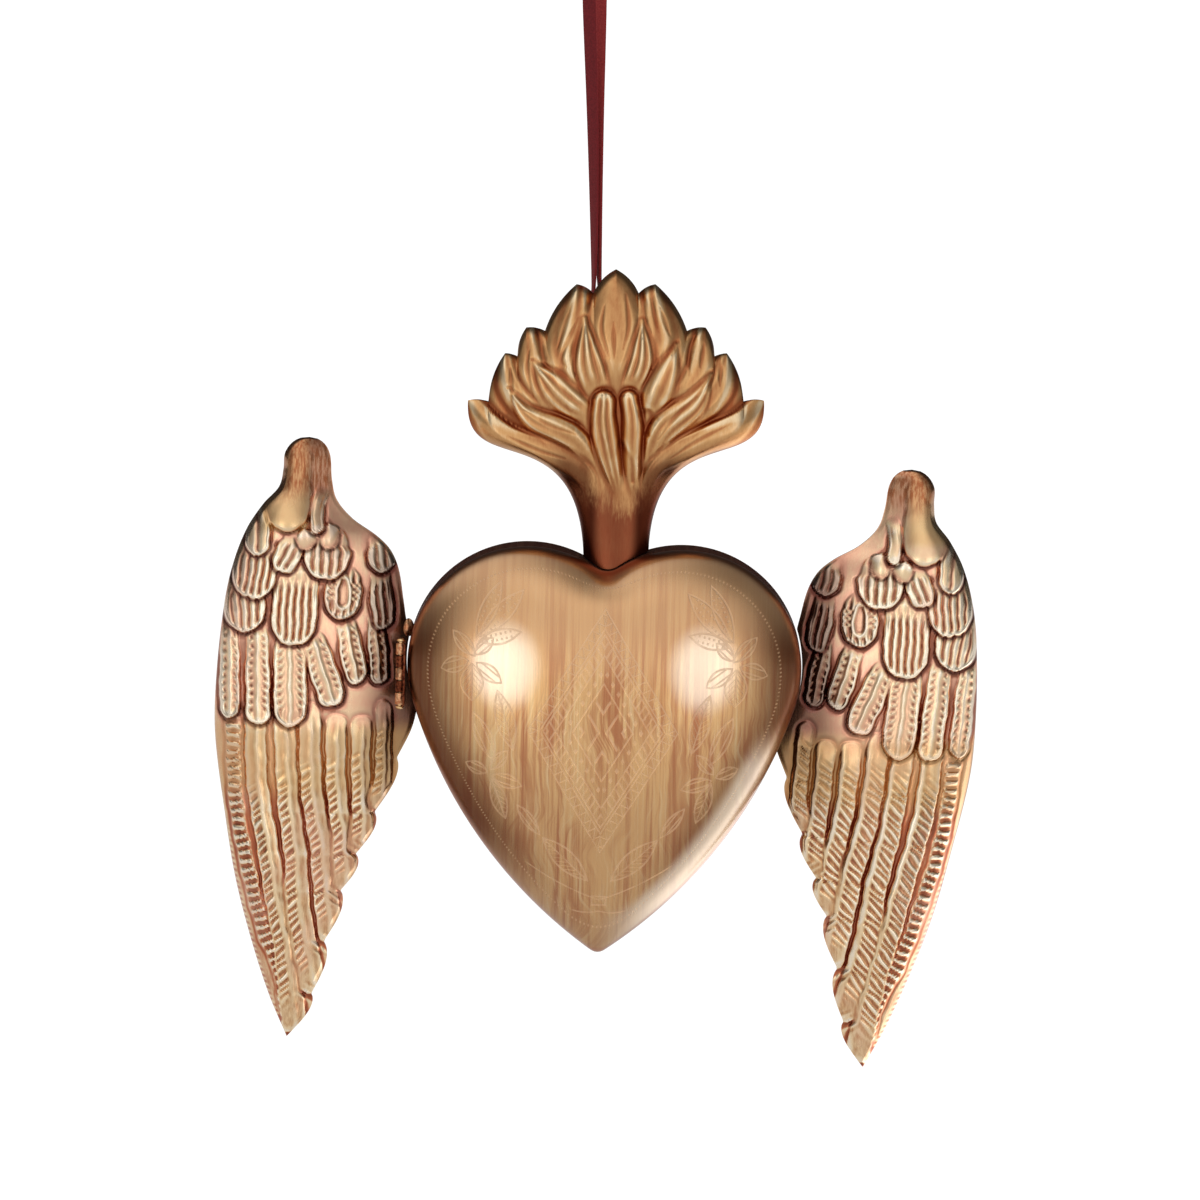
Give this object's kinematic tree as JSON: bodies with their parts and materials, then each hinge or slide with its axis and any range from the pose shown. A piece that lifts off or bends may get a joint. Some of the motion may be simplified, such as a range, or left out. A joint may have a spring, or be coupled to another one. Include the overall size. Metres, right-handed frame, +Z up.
{
  "type": "heart shaped hanging box ornament",
  "caption": "Hanging heart-shaped box of sheet brass with a hinged domed lid, a hollow flame, feathered wings and a ribbon loop.",
  "frame": {"origin": "inside top of the ribbon loop, where it lies over the hook that holds the ornament", "axes": "+Z up, the engraved front of the lid faces -Y, +X to the right seen from the front"},
  "size_m": [0.1693, 0.0348, 0.2826],
  "materials": {
    "satin_brass": "satin, brushed, antique gold",
    "bronze": "satin, darkened to bronze brown",
    "copper_brass": "polished, copper toned with brass highlights",
    "ribbon": "dark red velvet"
  },
  "bodies": {
    "box": {"box_wall": "bronze", "box_dish": "satin_brass", "flame_front": "satin_brass", "flame_back": "satin_brass", "wing_left": "copper_brass", "wing_right": "copper_brass", "hinge_leaf_box": "copper_brass", "hinge_pin": "satin_brass", "hanging_staple": "satin_brass", "ribbon_loop": "ribbon"},
    "lid": {"lid_dome": "satin_brass", "lid_band": "bronze", "hinge_leaf_lid": "copper_brass"}
  },
  "joints": [
    {"name": "lid_hinge", "type": "hinge", "parent": "box", "child": "lid", "pos_m": [-0.03857, -0.01211, -0.19489], "axis": [0, 0, -1], "range_deg": [0, 155]}
  ]
}
